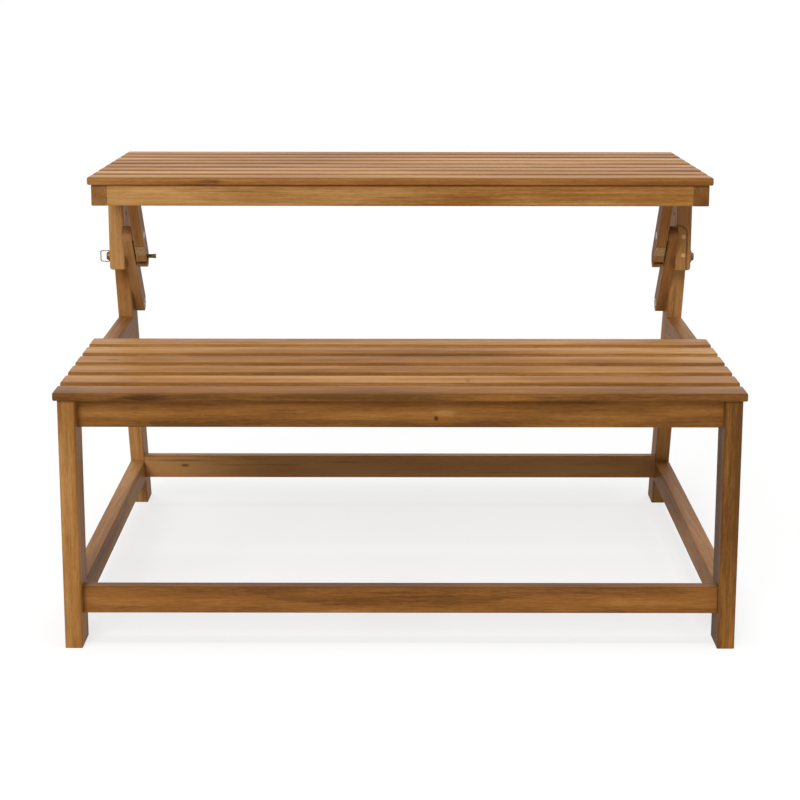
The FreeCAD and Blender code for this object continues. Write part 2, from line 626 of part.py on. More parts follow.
def lock_pin(inner_x):
    """Right lock pin with its barrel head outside the block, and a flared tip at inner_x."""
    centre = pin_centre()
    head_end = HEAD_FOOT_X + HEAD_LENGTH
    profile = [(inner_x, PIN_TIP_RADIUS), (inner_x + 1, PIN_TIP_RADIUS)]
    profile += [(inner_x + PIN_TIP_LENGTH, PIN_RADIUS), (HEAD_FOOT_X, PIN_RADIUS)]
    profile += [(HEAD_FOOT_X, HEAD_FOOT_RADIUS), (HEAD_FOOT_X + 2, HEAD_RADIUS)]
    profile += [(head_end - 2, HEAD_RADIUS), (head_end, HEAD_NOSE_RADIUS)]
    pin = turned(profile, V(0, centre.y, centre.z), V(1, 0, 0))
    for side in (-1, 1):
        start = V(RING_AXIS_X, centre.y, centre.z + side * (HEAD_RADIUS - RING_END_DEPTH))
        eye = prism(start, V(0, 0, side), RING_WIRE_RADIUS + RING_CLEARANCE, RING_END_DEPTH + 1)
        pin = pin.cut(eye)
    return pin


def rounded_path(points, radius):
    """Wire through the points, with each inner corner rounded in short flats."""
    path = points[:1]
    for index in range(1, len(points) - 1):
        corner = points[index]
        back = (points[index - 1] - corner).normalize()
        ahead = (points[index + 1] - corner).normalize()
        half_angle = back.getAngle(ahead) / 2
        centre = corner + (back + ahead).normalize() * (radius / math.sin(half_angle))
        start = corner + back * (radius / math.tan(half_angle)) - centre
        axis = back.cross(ahead).normalize() * -1
        for step in range(RING_CORNER_FLATS + 1):
            angle = (180 - 2 * math.degrees(half_angle)) * step / RING_CORNER_FLATS
            path.append(centre + FreeCAD.Rotation(axis, angle).multVec(start))
    return Part.makePolygon(path + points[-1:])


def pull_ring():
    """Wire pull ring of the right pin, pointing outward, hinged in the head's two eyes."""
    centre = pin_centre()
    axis = V(RING_AXIS_X, centre.y, centre.z)
    inside = HEAD_RADIUS - RING_END_DEPTH + RING_CLEARANCE
    far_height = RING_HALF_HEIGHT - RING_TAPER
    upper = [V(0, 0, inside), V(0, 0, RING_HALF_HEIGHT), V(RING_LENGTH, 0, far_height)]
    lower = [V(point.x, 0, -point.z) for point in reversed(upper)]
    points = [axis + point for point in upper + lower]
    section = prism(points[0], V(0, 0, 1), RING_WIRE_RADIUS, 1).Faces
    start = min(section, key=lambda face: face.CenterOfMass.z).OuterWire
    ring = rounded_path(points, RING_CORNER).makePipeShell([start], True, False, 1)
    return ring if ring.Volume > 0 else ring.reversed()


def folded_back(ring):
    """Pull ring turned a quarter turn about its eyes to lie beside the leg."""
    centre = pin_centre()
    turned_ring = ring.copy()
    turned_ring.rotate(V(RING_AXIS_X, centre.y, centre.z), V(0, 0, 1), 90)
    return turned_ring


def both_sides(pieces, name, shape, tilt=False):
    """Store a right piece and its mirror image as left and right nodes."""
    right = table_tilt(shape) if tilt else shape
    pieces[name + "_right"] = right
    pieces[name + "_left"] = mirrored(right)


def group(shapes, tilt=False):
    """One node of separate solids on both sides."""
    solids = [table_tilt(shape) if tilt else shape for shape in shapes]
    return Part.makeCompound(solids + [mirrored(solid) for solid in solids])


def seat_frame():
    """Everything that stands still."""
    pieces = seat_slats()
    both_sides(pieces, "front_leg", front_leg())
    both_sides(pieces, "rear_leg", rear_leg())
    both_sides(pieces, "pivot_block", pivot_block())
    both_sides(pieces, "brace", brace())
    both_sides(pieces, "seat_side_rail", seat_side_rail())
    both_sides(pieces, "lower_side_rail", lower_side_rail())
    pieces.update({name: cross_piece(place) for name, place in cross_places().items()})
    pieces["seat_centre_batten"] = seat_centre_batten()
    pieces["block_plugs"] = group(block_plugs())
    pieces["block_screws"] = group(block_screws())
    pieces["brace_bolts"] = group([brace_bolt()])
    pieces["pivot_bolts"] = group([pivot_bolt()])
    pieces["pivot_washers"] = group([pivot_washer()])
    return pieces


def table_top():
    """Everything that turns about the pivot bolts."""
    pieces = {name: table_tilt(slat) for name, slat in table_slats().items()}
    both_sides(pieces, "table_side_member", table_side_member(), True)
    both_sides(pieces, "strut", strut(), True)
    both_sides(pieces, "strut_cleat", strut_cleat(), True)
    both_sides(pieces, "strut_plate", strut_plate(), True)
    front = TABLE_FRONT_Y + TABLE_MEMBER_INSET
    rear = TABLE_REAR_Y - TABLE_MEMBER_INSET - TABLE_APRON_THICKNESS
    pieces["table_front_apron"] = table_tilt(table_apron(front))
    pieces["table_rear_apron"] = table_tilt(table_apron(rear))
    pieces["table_centre_batten"] = table_tilt(table_centre_batten())
    pieces["plate_screws"] = group([plate_screw()], True)
    return pieces


def pins_and_rings():
    """Lock pins, the left one long and the right one short, and their rings as they hang at rest."""
    ring = pull_ring()
    return {
        "lock_pin_left": mirrored(lock_pin(STRUT_INNER_X - PIN_TIP_BEYOND_STRUT)),
        "lock_pin_right": lock_pin(STRUT_INNER_X + RIGHT_PIN_SHORT_OF_FACE),
        "pull_ring_left": mirrored(ring),
        "pull_ring_right": folded_back(ring),
    }


def write(pieces):
    """One file for each piece."""
    os.makedirs("parts", exist_ok=True)
    for name, shape in pieces.items():
        shape.exportStep("parts/%s.step" % name)


if __name__ == "__main__":
    everything = {}
    everything.update(seat_frame())
    everything.update(table_top())
    everything.update(pins_and_rings())
    write(everything)
    print("pieces", len(everything))
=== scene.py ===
import json
import math

import bmesh
import bpy
from bpy.props import FloatProperty, FloatVectorProperty, IntProperty, PointerProperty
from mathutils import Matrix, Vector

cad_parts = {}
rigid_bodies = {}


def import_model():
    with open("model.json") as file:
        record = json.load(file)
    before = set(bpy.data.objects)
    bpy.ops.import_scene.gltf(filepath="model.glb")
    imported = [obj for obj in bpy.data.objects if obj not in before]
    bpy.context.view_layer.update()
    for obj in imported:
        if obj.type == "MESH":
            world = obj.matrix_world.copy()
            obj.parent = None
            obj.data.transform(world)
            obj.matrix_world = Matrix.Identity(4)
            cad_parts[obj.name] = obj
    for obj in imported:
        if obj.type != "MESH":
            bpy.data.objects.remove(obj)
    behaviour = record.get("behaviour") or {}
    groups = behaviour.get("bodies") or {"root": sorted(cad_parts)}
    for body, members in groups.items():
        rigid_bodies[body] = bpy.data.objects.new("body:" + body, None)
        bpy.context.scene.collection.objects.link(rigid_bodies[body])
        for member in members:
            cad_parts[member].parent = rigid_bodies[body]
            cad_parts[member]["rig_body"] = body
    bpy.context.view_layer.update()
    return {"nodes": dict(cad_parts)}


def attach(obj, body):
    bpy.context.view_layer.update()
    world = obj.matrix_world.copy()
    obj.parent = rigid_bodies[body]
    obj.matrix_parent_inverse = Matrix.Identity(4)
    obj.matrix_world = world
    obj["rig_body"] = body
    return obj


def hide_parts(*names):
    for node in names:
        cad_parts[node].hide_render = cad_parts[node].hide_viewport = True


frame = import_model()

bl_info = {
    "name": "Acacia convertible bench",
    "version": (1, 0, 0),
    "blender": (4, 5, 0),
    "location": "View3D > Sidebar > Bench",
    "description": "Finishes the boards and fittings of a garden bench that turns into a table",
    "category": "Object",
}

# The photograph, as 800 pixels square, and the place and turn of its camera
PHOTO_SIDE_PX = 800
FOCAL_LENGTH_PX = 2061.7
SENSOR_MM = 36.0
CAMERA_PLACE = (-0.0014, -4.0134, 1.2297)
CAMERA_PITCH_DEG = 12.615
CAMERA_YAW_DEG = 0.02
CAMERA_ROLL_DEG = -0.07
CAMERA_REACH = 200

# Where the lamps shine from and what they point at, and how much of the floor's white is its own
KEY_PLACE = (-1.1, -4.1, 2.76)
TOP_PLACE = (0, -0.35, 4.5)
LAMP_AIM = (0, 0, 0.5)
FLOOR_GLOW = 0.75

# Directions in which the boards run
ALONG_X = Vector((1, 0, 0))
ALONG_Y = Vector((0, 1, 0))
ALONG_Z = Vector((0, 0, 1))
REAR_LEG_LEAN = math.radians(20.1)
ALONG_REAR_LEG = Vector((0, -math.sin(REAR_LEG_LEAN), math.cos(REAR_LEG_LEAN)))
ALONG_BRACE = Vector((0, 1, -1)).normalized()

# Each board: direction of its grain, tone (0 is the middle, lower is darker and higher is lighter),
# and warmth from 0 yellow to 1 red. Some tones hold painted light and some painted shade, as marked at
# their boards.
SEAT_SLATS = {
    "seat_slat_1": (ALONG_X, -0.50, 0.20),
    "seat_slat_2": (ALONG_X, 0.25, 0.15),
    "seat_slat_3": (ALONG_X, 0.00, 0.00),
    "seat_slat_4": (ALONG_X, 0.00, 0.00),
    "seat_slat_5": (ALONG_X, 0.20, 0.10),
    "seat_slat_6": (ALONG_X, 0.25, 0.15),
}
TABLE_SLATS = {
    "table_slat_1": (ALONG_X, 0.30, 0.50),
    "table_slat_2": (ALONG_X, 0.35, 0.10),
    "table_slat_3": (ALONG_X, 0.10, 0.10),
    "table_slat_4": (ALONG_X, 0.35, 0.15),
    "table_slat_5": (ALONG_X, 0.05, 0.10),
    "table_slat_6": (ALONG_X, 0.35, 0.05),
    "table_slat_7": (ALONG_X, -0.35, 0.50),
    "table_slat_8": (ALONG_X, 0.05, 0.35),
}
UNDER_TABLE = {
    "table_front_apron": (ALONG_X, 0.60, 0.00),
    "table_rear_apron": (ALONG_X, 0.20, 0.10),
    "table_centre_batten": (ALONG_Y, 0.00, 0.10),
    "table_side_member_left": (ALONG_Y, 0.40, 0.40),
    "table_side_member_right": (ALONG_Y, -0.70, 0.30),
    "strut_cleat_left": (ALONG_Y, 0.00, 0.20),
    "strut_cleat_right": (ALONG_Y, 0.00, 0.20),
}
LEGS = {
    "front_leg_left": (ALONG_Z, 0.50, 0.30),
    # The right front leg's low tone is painted shade
    "front_leg_right": (ALONG_Z, -0.95, 0.10),
    "rear_leg_left": (ALONG_REAR_LEG, 0.65, 0.55),
    "rear_leg_right": (ALONG_REAR_LEG, 0.80, 0.80),
    # The left block's high tone is partly painted light over the shade under the table top
    "pivot_block_left": (ALONG_Z, 1.35, 0.50),
    "pivot_block_right": (ALONG_Z, 1.35, 0.70),
}
RAILS = {
    "seat_front_apron": (ALONG_X, -0.35, 0.20),
    "seat_rear_rail": (ALONG_X, 0.00, 0.10),
    "seat_centre_batten": (ALONG_Y, 0.00, 0.10),
    "seat_side_rail_left": (ALONG_Y, 0.20, 0.10),
    "seat_side_rail_right": (ALONG_Y, 0.20, 0.10),
    "lower_side_rail_left": (ALONG_Y, 0.15, 0.10),
    "lower_side_rail_right": (ALONG_Y, 0.10, 0.20),
    "front_stretcher": (ALONG_X, -0.35, 0.40),
    # The rear stretcher's high tone is painted light over the seat's shadow
    "rear_stretcher": (ALONG_X, 1.30, 0.80),
}
BRACES = {
    # The left brace's high tone is painted light over the shade under the table top
    "brace_left": (ALONG_BRACE, 1.20, 0.80),
    "brace_right": (ALONG_BRACE, -0.40, 0.60),
    # The left strut's high tone is painted light over the shade under the table top
    "strut_left": (ALONG_BRACE, 1.30, 1.00),
    "strut_right": (ALONG_BRACE, 0.30, 0.80),
}

# Knots and stains in single boards: centre in metres, half sizes in metres, strength
KNOTS = {
    "seat_front_apron": [((0.063, -0.516, 0.414), (0.0045, 0.02, 0.0050), 0.80),
                         ((0.078, -0.516, 0.424), (0.022, 0.02, 0.0060), -0.30)],
    "seat_slat_4": [((-0.532, -0.262, 0.464), (0.014, 0.008, 0.006), 0.60)],
    "seat_slat_1": [((-0.440, -0.545, 0.458), (0.045, 0.012, 0.008), 0.50),
                    ((-0.575, -0.530, 0.462), (0.030, 0.030, 0.015), 0.25),
                    ((0.330, -0.530, 0.462), (0.120, 0.025, 0.020), 0.30)],
    "table_slat_1": [((-0.365, -0.074, 0.776), (0.030, 0.020, 0.004), 0.45)],
    "front_stretcher": [((0.100, -0.518, 0.085), (0.110, 1.000, 0.010), 0.25)],
    "rear_stretcher": [((-0.474, 0.470, 0.095), (0.010, 1.000, 0.004), 0.65)],
    "seat_slat_2": [((0.120, -0.440, 0.466), (0.004, 0.020, 0.006), 0.30)],
}

# How the tone and the grain add up to a place on the ramp from dark to light wood
BASE_SHADE = 0.04
TONE_STEP = 0.30
CLOUD_SHARE = 0.24
DRIFT_SHARE = 0.24
FIBRE_SHARE = 0.15
FLECK_SHARE = 0.11
RING_SHARE = 0.08
DARK_PLACE = 0.12
MIDDLE_PLACE = 0.45
LIGHT_PLACE = 0.95
STREAK_STRENGTH = 0.55

# Where the pith lies beside each board and how far that varies, how much slower the rings change
# along the board than across it, how far they wander, and the relief of the fibres, in metres
PITH_ACROSS = 0.05
PITH_ACROSS_SPREAD = 0.04
PITH_BELOW = 0.06
PITH_BELOW_SPREAD = 0.03
RING_STRETCH = 0.08
RING_WANDER = 0.05
FIBRE_RELIEF = 0.0005

# Gloss of faces that look sideways or down, and the angles that tell edges apart
SIDE_POLISH = 0.06
END_ROUND_ANGLE = math.radians(60)
SHARP_ANGLE = math.radians(35)
FLAT_ANGLE = math.radians(0.5)

# Painted arc of shade on the right block: its middle across and up, its radius, how ragged it is,
# and how far from its line it is full and gone, in metres
ARCH_MIDDLE_X = 0.568
ARCH_MIDDLE_Z = 0.6436
ARCH_RADIUS = 0.0175
ARCH_RAGGED = 0.002
ARCH_FULL = 0.0006
ARCH_GONE = 0.0028
ARCH_STRENGTH = 0.55


def linear(colour):
    """sRGB hex value to linear red, green and blue."""
    channels = [int(colour[place:place + 2], 16) / 255 for place in (1, 3, 5)]
    return [value / 12.92 if value <= 0.04045 else ((value + 0.055) / 1.055) ** 2.4
            for value in channels]


def tint(name, colour, description):
    """Colour property with its sRGB default."""
    return FloatVectorProperty(name=name, description=description, subtype="COLOR", size=3, min=0, max=1,
                               default=linear(colour))


def millimetres(name, size, description):
    """Size property in metres with its default in millimetres."""
    return FloatProperty(name=name, description=description, unit="LENGTH", min=0.0001, max=5,
                         default=size / 1000)


class WoodLook(bpy.types.PropertyGroup):
    """Colours and grain of the oiled acacia."""

    light: tint("Light wood", "#D2A367", "Lighter fibres of the boards")
    middle: tint("Middle wood", "#9D6A32", "Most of each board")
    # Dark wood is also the colour of the painted shade on the rounded upper edges
    dark: tint("Dark wood", "#64421F", "Darker fibres of the boards")
    # The streak colour is also the colour of the painted arc of shade on the right block
    streak: tint("Streaks", "#2E1D10", "Mineral streaks and knots")
    red: tint("Red wood", "#8A4E28", "Tint of the redder boards")
    end: tint("End grain", "#7A5230", "Sawn ends of the boards")
    fibre_width: millimetres("Fibre width", 2.2, "Width of the fine grain lines")
    fibre_length: millimetres("Fibre length", 60, "Length of the fine grain lines")
    fleck_width: millimetres("Fleck width", 1.6, "Width of the short dark flecks")
    fleck_length: millimetres("Fleck length", 16, "Length of the short dark flecks")
    cloud_width: millimetres("Drift width", 26, "Width of the light and dark drifts")
    cloud_length: millimetres("Drift length", 240, "Length of the light and dark drifts")
    ring_spacing: millimetres("Ring spacing", 10, "Distance between growth rings")
    roughness: FloatProperty(name="Roughness", description="Roughness of the rubbed oil", default=0.5,
                             min=0, max=1)
    polish: FloatProperty(name="Polish of the tops", description="Gloss of the faces that look up",
                          default=0.36, min=0, max=1)
    # Strength of the painted shade on the rounded upper edges
    edges: FloatProperty(name="Dark edges", description="How much darker the rounded edges are",
                         default=0.55, min=0, max=1)


class SlatShape(bpy.types.PropertyGroup):
    """Rounding of the slats' sawn ends."""

    end_round: millimetres("End rounding", 3.2, "Radius of the edges round each sawn end")
    segments: IntProperty(name="Segments", description="Steps in the rounding", default=3, min=1, max=8)


class FittingLook(bpy.types.PropertyGroup):
    """Colours of the metal fittings and the plugs."""

    brass: tint("Brass", "#82693C", "Brass plating of pins and rings")
    # The plates' paler colour is partly their own plating and partly painted light over the shade they lie
    # in
    plate: tint("Plates", "#CBA673", "Paler brass plating of the plates")
    tarnish: tint("Tarnish", "#4A3A20", "Duller, browner brass")
    steel: tint("Steel", "#A9A9A4", "Zinc-plated bolts, screws and washers")
    plug: tint("Plug", "#EDB57E", "Pale plugs of the right block")
    dark_plug: tint("Darker plug", "#C4935F", "Plugs of the left block")
    cloud: millimetres("Tarnish size", 4, "Size of the tarnish clouds")
    pore: millimetres("Pore size", 1.43, "Size of the pores in the plugs")


class StageLook(bpy.types.PropertyGroup):
    """Floor, surroundings and lamps."""

    floor: tint("Floor", "#CFCECC", "Plain pale floor")
    floor_side: FloatProperty(name="Floor side", description="Side of the square floor", unit="LENGTH",
                              default=120, min=3, max=500)
    fill: FloatProperty(name="Fill light", description="Strength of the even white surroundings",
                        default=0.22, min=0, max=5)
    key: FloatProperty(name="Key light", description="Strength of the soft light at the front left",
                       default=1.70, min=0, max=50)
    top: FloatProperty(name="Top light", description="Strength of the soft light above",
                       default=1.95, min=0, max=50)
    softness: FloatProperty(name="Softness", description="Angle over which each light spreads",
                            default=math.radians(22), min=0, max=math.radians(90), subtype="ANGLE")


def add(tree, kind, inputs=None, output=0, **settings):
    """A node with its settings and inputs, given back as its chosen output, or as itself for None."""
    node = tree.nodes.new(kind)
    for name, value in settings.items():
        setattr(node, name, value)
    for key, value in (inputs or {}).items():
        if isinstance(value, bpy.types.NodeSocket):
            tree.links.new(value, node.inputs[key])
        else:
            node.inputs[key].default_value = value
    return node if output is None else node.outputs[output]


def new_material(name):
    """Empty node material and its tree."""
    material = bpy.data.materials.new(name)
    material.use_nodes = True
    material.node_tree.nodes.clear()
    return material, material.node_tree


def dress(node_name, material):
    """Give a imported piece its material."""
    mesh = frame["nodes"][node_name].data
    mesh.materials.clear()
    mesh.materials.append(material)


def grain_layers(tree, look, grain):
    """Noise drawn out along the board: clouds, broad drift, fibres, flecks and veins."""
    layers = []
    for width, length, detail, roughness in (
            (look.cloud_width, look.cloud_length, 3.0, 0.5),
            (look.cloud_width * 4, look.cloud_length * 3, 1.0, 0.5),
            (look.fibre_width, look.fibre_length, 4.0, 0.7),
            (look.fleck_width, look.fleck_length, 2.0, 0.6),
            (look.cloud_width * 0.3, look.cloud_length * 1.2, 4.0, 0.6)):
        drawn = add(tree, "ShaderNodeMapping",
                    {"Vector": grain, "Scale": (1 / length, 1 / width, 1 / width)})
        layers.append(add(tree, "ShaderNodeTexNoise",
                          {"Vector": drawn, "Scale": 1.0, "Detail": detail, "Roughness": roughness}))
    return layers


def growth_rings(tree, look, grain, offset, seed, drift):
    """Rings round a pith that lies beside the board, wandering a little along it."""
    pith = (0, -offset[1] - PITH_ACROSS - PITH_ACROSS_SPREAD * math.sin(seed),
            -offset[2] - PITH_BELOW - PITH_BELOW_SPREAD * math.cos(seed * 1.7))
    log = add(tree, "ShaderNodeMapping",
              {"Vector": grain, "Location": pith, "Scale": (RING_STRETCH, 1, 1)})
    sway = add(tree, "ShaderNodeMath", {0: drift, 1: RING_WANDER}, operation="MULTIPLY")
    sway = add(tree, "ShaderNodeCombineXYZ", {"Y": sway})
    wander = add(tree, "ShaderNodeVectorMath", {0: log, 1: sway}, operation="ADD")
    return add(tree, "ShaderNodeTexWave",
               {"Vector": wander, "Scale": math.pi / 10 / look.ring_spacing, "Distortion": 2.0,
                "Detail": 2.0, "Detail Scale": 1.5},
               output="Fac", wave_type="RINGS", rings_direction="X")


def grain_colour(tree, look, tone, warmth, shares):
    """Wood from dark to light by the board's tone and its layers of grain, then tinted red."""
    shade = tone * TONE_STEP + BASE_SHADE
    for layer, low, high, share in shares:
        step = add(tree, "ShaderNodeMapRange", {0: layer, 1: low, 2: high, 3: 0.0, 4: share})
        shade = add(tree, "ShaderNodeMath", {0: step, 1: shade}, operation="ADD")
    ramp = add(tree, "ShaderNodeValToRGB", {"Fac": shade}, output=None)
    ramp.color_ramp.elements[0].position = DARK_PLACE
    ramp.color_ramp.elements[0].color = (*look.dark, 1)
    ramp.color_ramp.elements[1].position = LIGHT_PLACE
    ramp.color_ramp.elements[1].color = (*look.light, 1)
    ramp.color_ramp.elements.new(MIDDLE_PLACE).color = (*look.middle, 1)
    return add(tree, "ShaderNodeMix", {0: 0.5 * warmth, 6: ramp.outputs[0], 7: (*look.red, 1)}, 2,
               data_type="RGBA")


def streaks_and_knots(tree, look, name, place, flecks, veins, wood):
    """Wood with its mineral streaks, and the knots and stains of this board."""
    streak = add(tree, "ShaderNodeMapRange", {0: veins, 1: 0.60, 2: 0.76, 3: 0.0, 4: STREAK_STRENGTH})
    wood = add(tree, "ShaderNodeMix", {0: streak, 6: wood, 7: (*look.streak, 1)}, 2, data_type="RGBA")
    for centre, half, strength in KNOTS.get(name, []):
        away = add(tree, "ShaderNodeVectorMath", {0: place, 1: centre}, operation="SUBTRACT")
        away = add(tree, "ShaderNodeVectorMath", {0: away, 1: half}, operation="DIVIDE")
        away = add(tree, "ShaderNodeVectorMath", {0: away}, "Value", operation="LENGTH")
        ragged = add(tree, "ShaderNodeMath", {0: flecks, 1: 0.8, 2: away}, operation="MULTIPLY_ADD")
        spot = add(tree, "ShaderNodeMapRange", {0: ragged, 1: 0.8, 2: 1.6, 3: abs(strength), 4: 0.0},
                   interpolation_type="SMOOTHSTEP")
        colour = look.streak if strength > 0 else look.light
        wood = add(tree, "ShaderNodeMix", {0: spot, 6: wood, 7: (*colour, 1)}, 2, data_type="RGBA")
    return wood


def sawn_ends(tree, look, direction, rings, wood):
    """Wood with darker ends, where the rings show."""
    facing = add(tree, "ShaderNodeNewGeometry", output="Normal")
    facing = add(tree, "ShaderNodeVectorMath", {0: facing, 1: direction}, "Value",
                 operation="DOT_PRODUCT")
    facing = add(tree, "ShaderNodeMath", {0: facing}, operation="ABSOLUTE")
    sawn = add(tree, "ShaderNodeMapRange", {0: facing, 1: 0.75, 2: 0.95, 3: 0.0, 4: 0.7})
    ringed = add(tree, "ShaderNodeMapRange", {0: rings, 1: 0.2, 2: 0.9, 3: 0.15, 4: 0.75})
    ends = add(tree, "ShaderNodeMix", {0: ringed, 6: (*look.end, 1), 7: (*look.dark, 1)}, 2,
               data_type="RGBA")
    ends = add(tree, "ShaderNodeMix", {0: 0.35, 6: ends, 7: wood}, 2, data_type="RGBA")
    return add(tree, "ShaderNodeMix", {0: sawn, 6: wood, 7: ends}, 2, data_type="RGBA")


def painted_edge_shade(tree, look, height, wood):
    """Wood with painted shade on the rounded upper edges, where they turn down."""
    start = add(tree, "ShaderNodeMapRange", {0: height, 1: 0.1, 2: 0.4, 3: 0.0, 4: look.edges})
    stop = add(tree, "ShaderNodeMapRange", {0: height, 1: 0.85, 2: 0.98, 3: 1.0, 4: 0.0})
    edge = add(tree, "ShaderNodeMath", {0: start, 1: stop}, operation="MULTIPLY")
    return add(tree, "ShaderNodeMix", {0: edge, 6: wood, 7: (*look.dark, 1)}, 2, data_type="RGBA")


# Acacia, planed, sanded and rubbed with oil: golden brown, with fine darker fibres and short flecks,
# drifts of lighter and darker wood along each board, a few growth rings, dark mineral streaks and
# small knots, under a thin satin sheen. Sawn ends are darker and show the rings. Fibres are finer in
# the real wood and are drawn about 2 mm wide so that they show. Painted shade darkens the rounded
# upper edges of boards that run across, and a painted arc of shade lies on the right block.
def oiled_acacia(look, name, board, seed):
    """Material of one board, with its own place in the log."""
    direction, tone, warmth = board
    material, tree = new_material("oiled_acacia_" + name)
    place = add(tree, "ShaderNodeTexCoord", output="Object")
    turn = direction.rotation_difference(ALONG_X).to_euler()
    offset = (seed * 1.731 % 7, seed * 0.377 % 1, seed * 0.619 % 1)
    grain = add(tree, "ShaderNodeMapping", {"Vector": place, "Rotation": turn, "Location": offset})
    clouds, drift, fibres, flecks, veins = grain_layers(tree, look, grain)
    rings = growth_rings(tree, look, grain, offset, seed, drift)
    wood = grain_colour(tree, look, tone, warmth,
                        ((clouds, 0.33, 0.67, CLOUD_SHARE), (drift, 0.38, 0.62, DRIFT_SHARE),
                         (fibres, 0.36, 0.64, FIBRE_SHARE), (flecks, 0.36, 0.64, FLECK_SHARE),
                         (rings, 0.0, 1.0, RING_SHARE)))
    wood = streaks_and_knots(tree, look, name, place, flecks, veins, wood)
    # The right block gets a painted arc of shade over its plugs
    if name == "pivot_block_right":
        wood = painted_arc_shadow(tree, look, place, flecks, wood)
    wood = sawn_ends(tree, look, direction, rings, wood)
    height = add(tree, "ShaderNodeNewGeometry", output="Normal")
    height = add(tree, "ShaderNodeSeparateXYZ", {0: height}, "Z")
    polish = add(tree, "ShaderNodeMapRange", {0: height, 1: 0.7, 2: 0.98, 3: SIDE_POLISH, 4: look.polish})
    # Boards that run across get painted shade on their rounded upper edges
    if direction == ALONG_X:
        wood = painted_edge_shade(tree, look, height, wood)
    bump = add(tree, "ShaderNodeBump", {"Strength": 0.3, "Distance": FIBRE_RELIEF, "Height": fibres})
    sheen = add(tree, "ShaderNodeMapRange",
                {0: flecks, 1: 0.2, 2: 0.8, 3: look.roughness - 0.07, 4: look.roughness + 0.09})
    shader = add(tree, "ShaderNodeBsdfPrincipled",
                 {"Base Color": wood, "Roughness": sheen, "Normal": bump, "IOR": 1.45,
                  "Specular IOR Level": polish})
    add(tree, "ShaderNodeOutputMaterial", {0: shader}, None)
    return material


def painted_arc_shadow(tree, look, place, flecks, wood):
    """Painted dark arc of shade that curves over the plugs of the right block."""
    axes = add(tree, "ShaderNodeSeparateXYZ", {0: place}, output=None)
    across = add(tree, "ShaderNodeMath", {0: axes.outputs[0], 1: ARCH_MIDDLE_X}, operation="SUBTRACT")
    above = add(tree, "ShaderNodeMath", {0: axes.outputs[2], 1: ARCH_MIDDLE_Z}, operation="SUBTRACT")
    above = add(tree, "ShaderNodeMath", {0: above, 1: 0.0}, operation="MAXIMUM")
    point = add(tree, "ShaderNodeCombineXYZ", {0: across, 1: above})
    away = add(tree, "ShaderNodeVectorMath", {0: point}, "Value", operation="LENGTH")
    away = add(tree, "ShaderNodeMath", {0: flecks, 1: ARCH_RAGGED, 2: away}, operation="MULTIPLY_ADD")
    away = add(tree, "ShaderNodeMath", {0: away, 1: ARCH_RADIUS}, operation="SUBTRACT")
    away = add(tree, "ShaderNodeMath", {0: away}, operation="ABSOLUTE")
    shadow_arc = add(tree, "ShaderNodeMapRange", {0: away, 1: ARCH_FULL, 2: ARCH_GONE, 3: ARCH_STRENGTH, 4: 0.0})
    return add(tree, "ShaderNodeMix", {0: shadow_arc, 6: wood, 7: (*look.streak, 1)}, 2, data_type="RGBA")


# Brass-plated steel, drawn, turned or pressed: yellow metal gone a little dull and brown in clouds.
def dull_brass(look, name, brass, most_worn):
    """Material of the pins and rings, or of the plates and their screws."""
    material, tree = new_material(name)
    place = add(tree, "ShaderNodeTexCoord", output="Object")
    clouds = add(tree, "ShaderNodeTexNoise", {"Vector": place, "Scale": 1 / look.cloud, "Detail": 3.0})
    worn = add(tree, "ShaderNodeMapRange", {0: clouds, 1: 0.40, 2: 0.62, 3: 0.1, 4: most_worn})
    colour = add(tree, "ShaderNodeMix", {0: worn, 6: (*brass, 1), 7: (*look.tarnish, 1)}, 2,
                 data_type="RGBA")
    rough = add(tree, "ShaderNodeMapRange", {0: clouds, 1: 0.3, 2: 0.7, 3: 0.40, 4: 0.55})
    bump = add(tree, "ShaderNodeBump", {"Strength": 0.1, "Distance": 0.0002, "Height": clouds})
    shader = add(tree, "ShaderNodeBsdfPrincipled",
                 {"Base Color": colour, "Metallic": 1.0, "Roughness": rough, "Normal": bump})
    add(tree, "ShaderNodeOutputMaterial", {0: shader}, None)
    return material


# Zinc-plated steel: pale grey metal with a soft, slightly cloudy shine.
def plated_steel(look):
    """Material of the bolts, screws and washers."""
    material, tree = new_material("zinc_plated_steel")
    place = add(tree, "ShaderNodeTexCoord", output="Object")
    clouds = add(tree, "ShaderNodeTexNoise", {"Vector": place, "Scale": 1 / look.cloud, "Detail": 2.0})
    rough = add(tree, "ShaderNodeMapRange", {0: clouds, 1: 0.3, 2: 0.7, 3: 0.3, 4: 0.45})
    shader = add(tree, "ShaderNodeBsdfPrincipled",
                 {"Base Color": (*look.steel, 1), "Metallic": 1.0, "Roughness": rough})
    add(tree, "ShaderNodeOutputMaterial", {0: shader}, None)
    return material


# Hardwood plugs, cut across the grain and sanded flush: pale with fine darker pores on the right
# block, and nearly the tone of the block on the left. Pores are finer in the real wood and are drawn
# about 1.4 mm wide so that they show.
def sanded_plug(look):
    """Material of the plugs."""
    material, tree = new_material("sanded_hardwood_plug")
    place = add(tree, "ShaderNodeTexCoord", output="Object")
    side = add(tree, "ShaderNodeSeparateXYZ", {0: place}, output="X")
    side = add(tree, "ShaderNodeMath", {0: side, 1: 0.0}, operation="GREATER_THAN")
    base = add(tree, "ShaderNodeMix", {0: side, 6: (*look.dark_plug, 1), 7: (*look.plug, 1)}, 2,
               data_type="RGBA")
    pores = add(tree, "ShaderNodeTexNoise", {"Vector": place, "Scale": 1 / look.pore, "Detail": 2.0})
    pores = add(tree, "ShaderNodeMapRange", {0: pores, 1: 0.35, 2: 0.65, 3: 1.0, 4: 0.7})
    colour = add(tree, "ShaderNodeVectorMath", {0: base, "Scale": pores}, operation="SCALE")
    shader = add(tree, "ShaderNodeBsdfPrincipled", {"Base Color": colour, "Roughness": 0.55})
    add(tree, "ShaderNodeOutputMaterial", {0: shader}, None)
    return material


